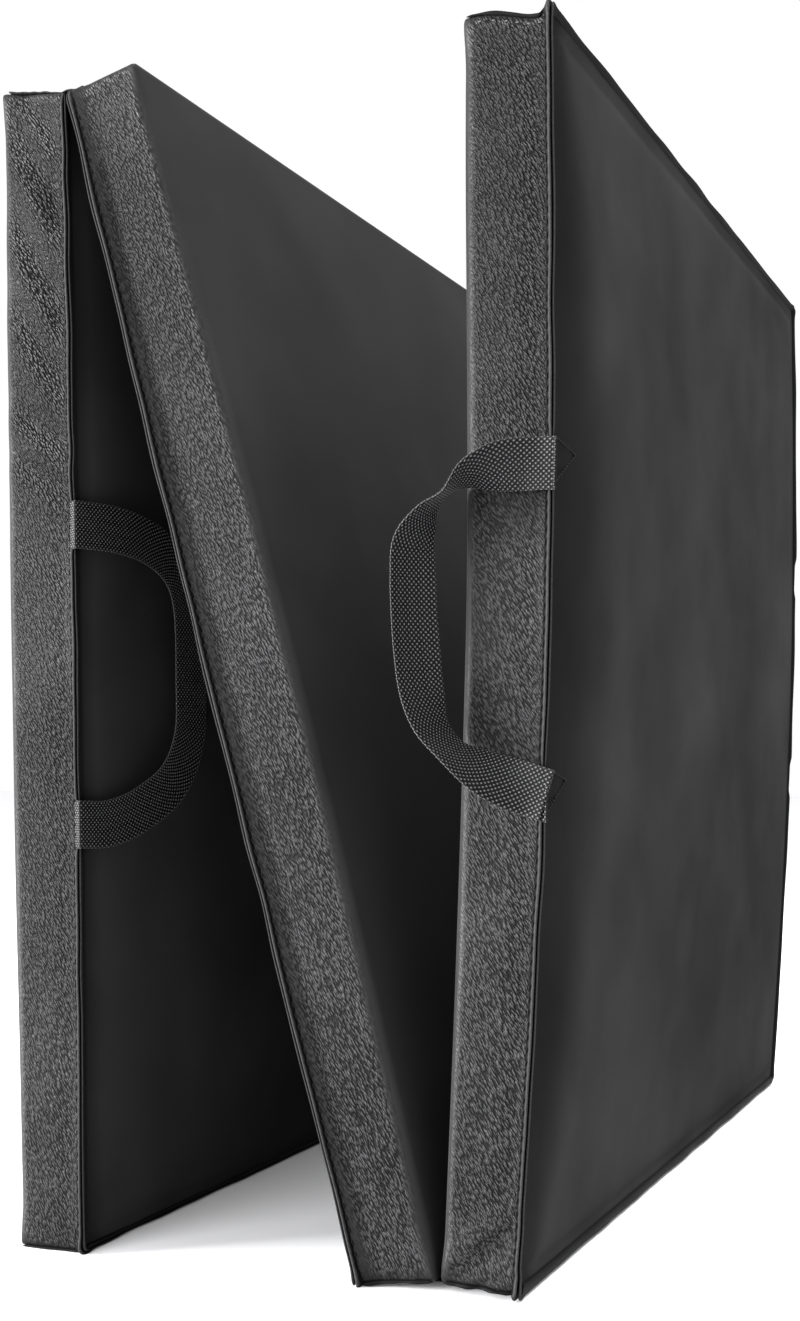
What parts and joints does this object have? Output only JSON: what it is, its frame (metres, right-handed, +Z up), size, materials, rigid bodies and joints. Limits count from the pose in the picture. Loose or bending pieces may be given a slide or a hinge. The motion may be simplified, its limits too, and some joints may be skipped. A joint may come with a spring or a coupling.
{
  "type": "folding gym mat",
  "caption": "Tri-fold exercise mat with foam panels in stitched leathercloth covers and webbing carry handles, standing half folded.",
  "frame": {"origin": "middle of the footprint of the half-folded mat, on the floor", "axes": "+X across the panels from the left panel to the right panel, +Y along the fold lines from the handles' side to the rear, +Z up"},
  "size_m": [0.3118, 0.6408, 0.621],
  "materials": {
    "foam": "open-cell matte",
    "cover_wall": "pebbled satin leathercloth",
    "cover_face": "fine-grained satin leathercloth",
    "seam_welt": "folded leathercloth edge",
    "hinge_strip": "satin leathercloth",
    "webbing": "woven polypropylene",
    "thread": "bonded sewing thread"
  },
  "bodies": {
    "middle_panel": {"middle_foam_core": "foam", "middle_cover_tray": "cover_wall", "middle_face_sheet": "cover_face", "middle_seam_welt": "seam_welt", "middle_front_seam_thread": "thread", "middle_rear_seam_thread": "thread", "top_hinge_middle_leaf": "hinge_strip", "bottom_hinge_middle_leaf": "hinge_strip"},
    "left_panel": {"left_foam_core": "foam", "left_cover_tray": "cover_wall", "left_face_sheet": "cover_face", "left_seam_welt": "seam_welt", "left_front_seam_thread": "thread", "left_rear_seam_thread": "thread", "left_handle_upper_tail": "webbing", "left_handle_lower_tail": "webbing", "left_handle_upper_tack": "thread", "left_handle_lower_tack": "thread", "top_hinge_left_leaf": "hinge_strip"},
    "right_panel": {"right_foam_core": "foam", "right_cover_tray": "cover_wall", "right_face_sheet": "cover_face", "right_seam_welt": "seam_welt", "right_front_seam_thread": "thread", "right_rear_seam_thread": "thread", "right_handle_upper_tail": "webbing", "right_handle_lower_tail": "webbing", "right_handle_upper_tack": "thread", "right_handle_lower_tack": "thread", "bottom_hinge_right_leaf": "hinge_strip"},
    "left_handle": {"left_handle_strap": "webbing"},
    "right_handle": {"right_handle_strap": "webbing"}
  },
  "joints": [
    {"name": "fold_top", "type": "hinge", "parent": "middle_panel", "child": "left_panel", "pos_m": [-0.11432, 0.0123, 0.61186], "axis": [0, 1, 0], "range_deg": [-12.5, 165.5]},
    {"name": "fold_bottom", "type": "hinge", "parent": "middle_panel", "child": "right_panel", "pos_m": [0.09299, 0.0123, 0.00485], "axis": [0, 1, 0], "range_deg": [-15.8, 163]},
    {"name": "left_handle_swing", "type": "hinge", "parent": "left_panel", "child": "left_handle", "pos_m": [-0.10663, -0.297, 0.30408], "axis": [0.0135, 0, -0.9999], "range_deg": [-10.7, 141]},
    {"name": "right_handle_swing", "type": "hinge", "parent": "right_panel", "child": "right_handle", "pos_m": [0.15321, -0.297, 0.32218], "axis": [0.03, 0, 0.9996], "range_deg": [0, 230]}
  ],
  "couplings": [
    {"joint": "left_handle_swing", "follows": "fold_top", "ratio": 0.85}
  ]
}
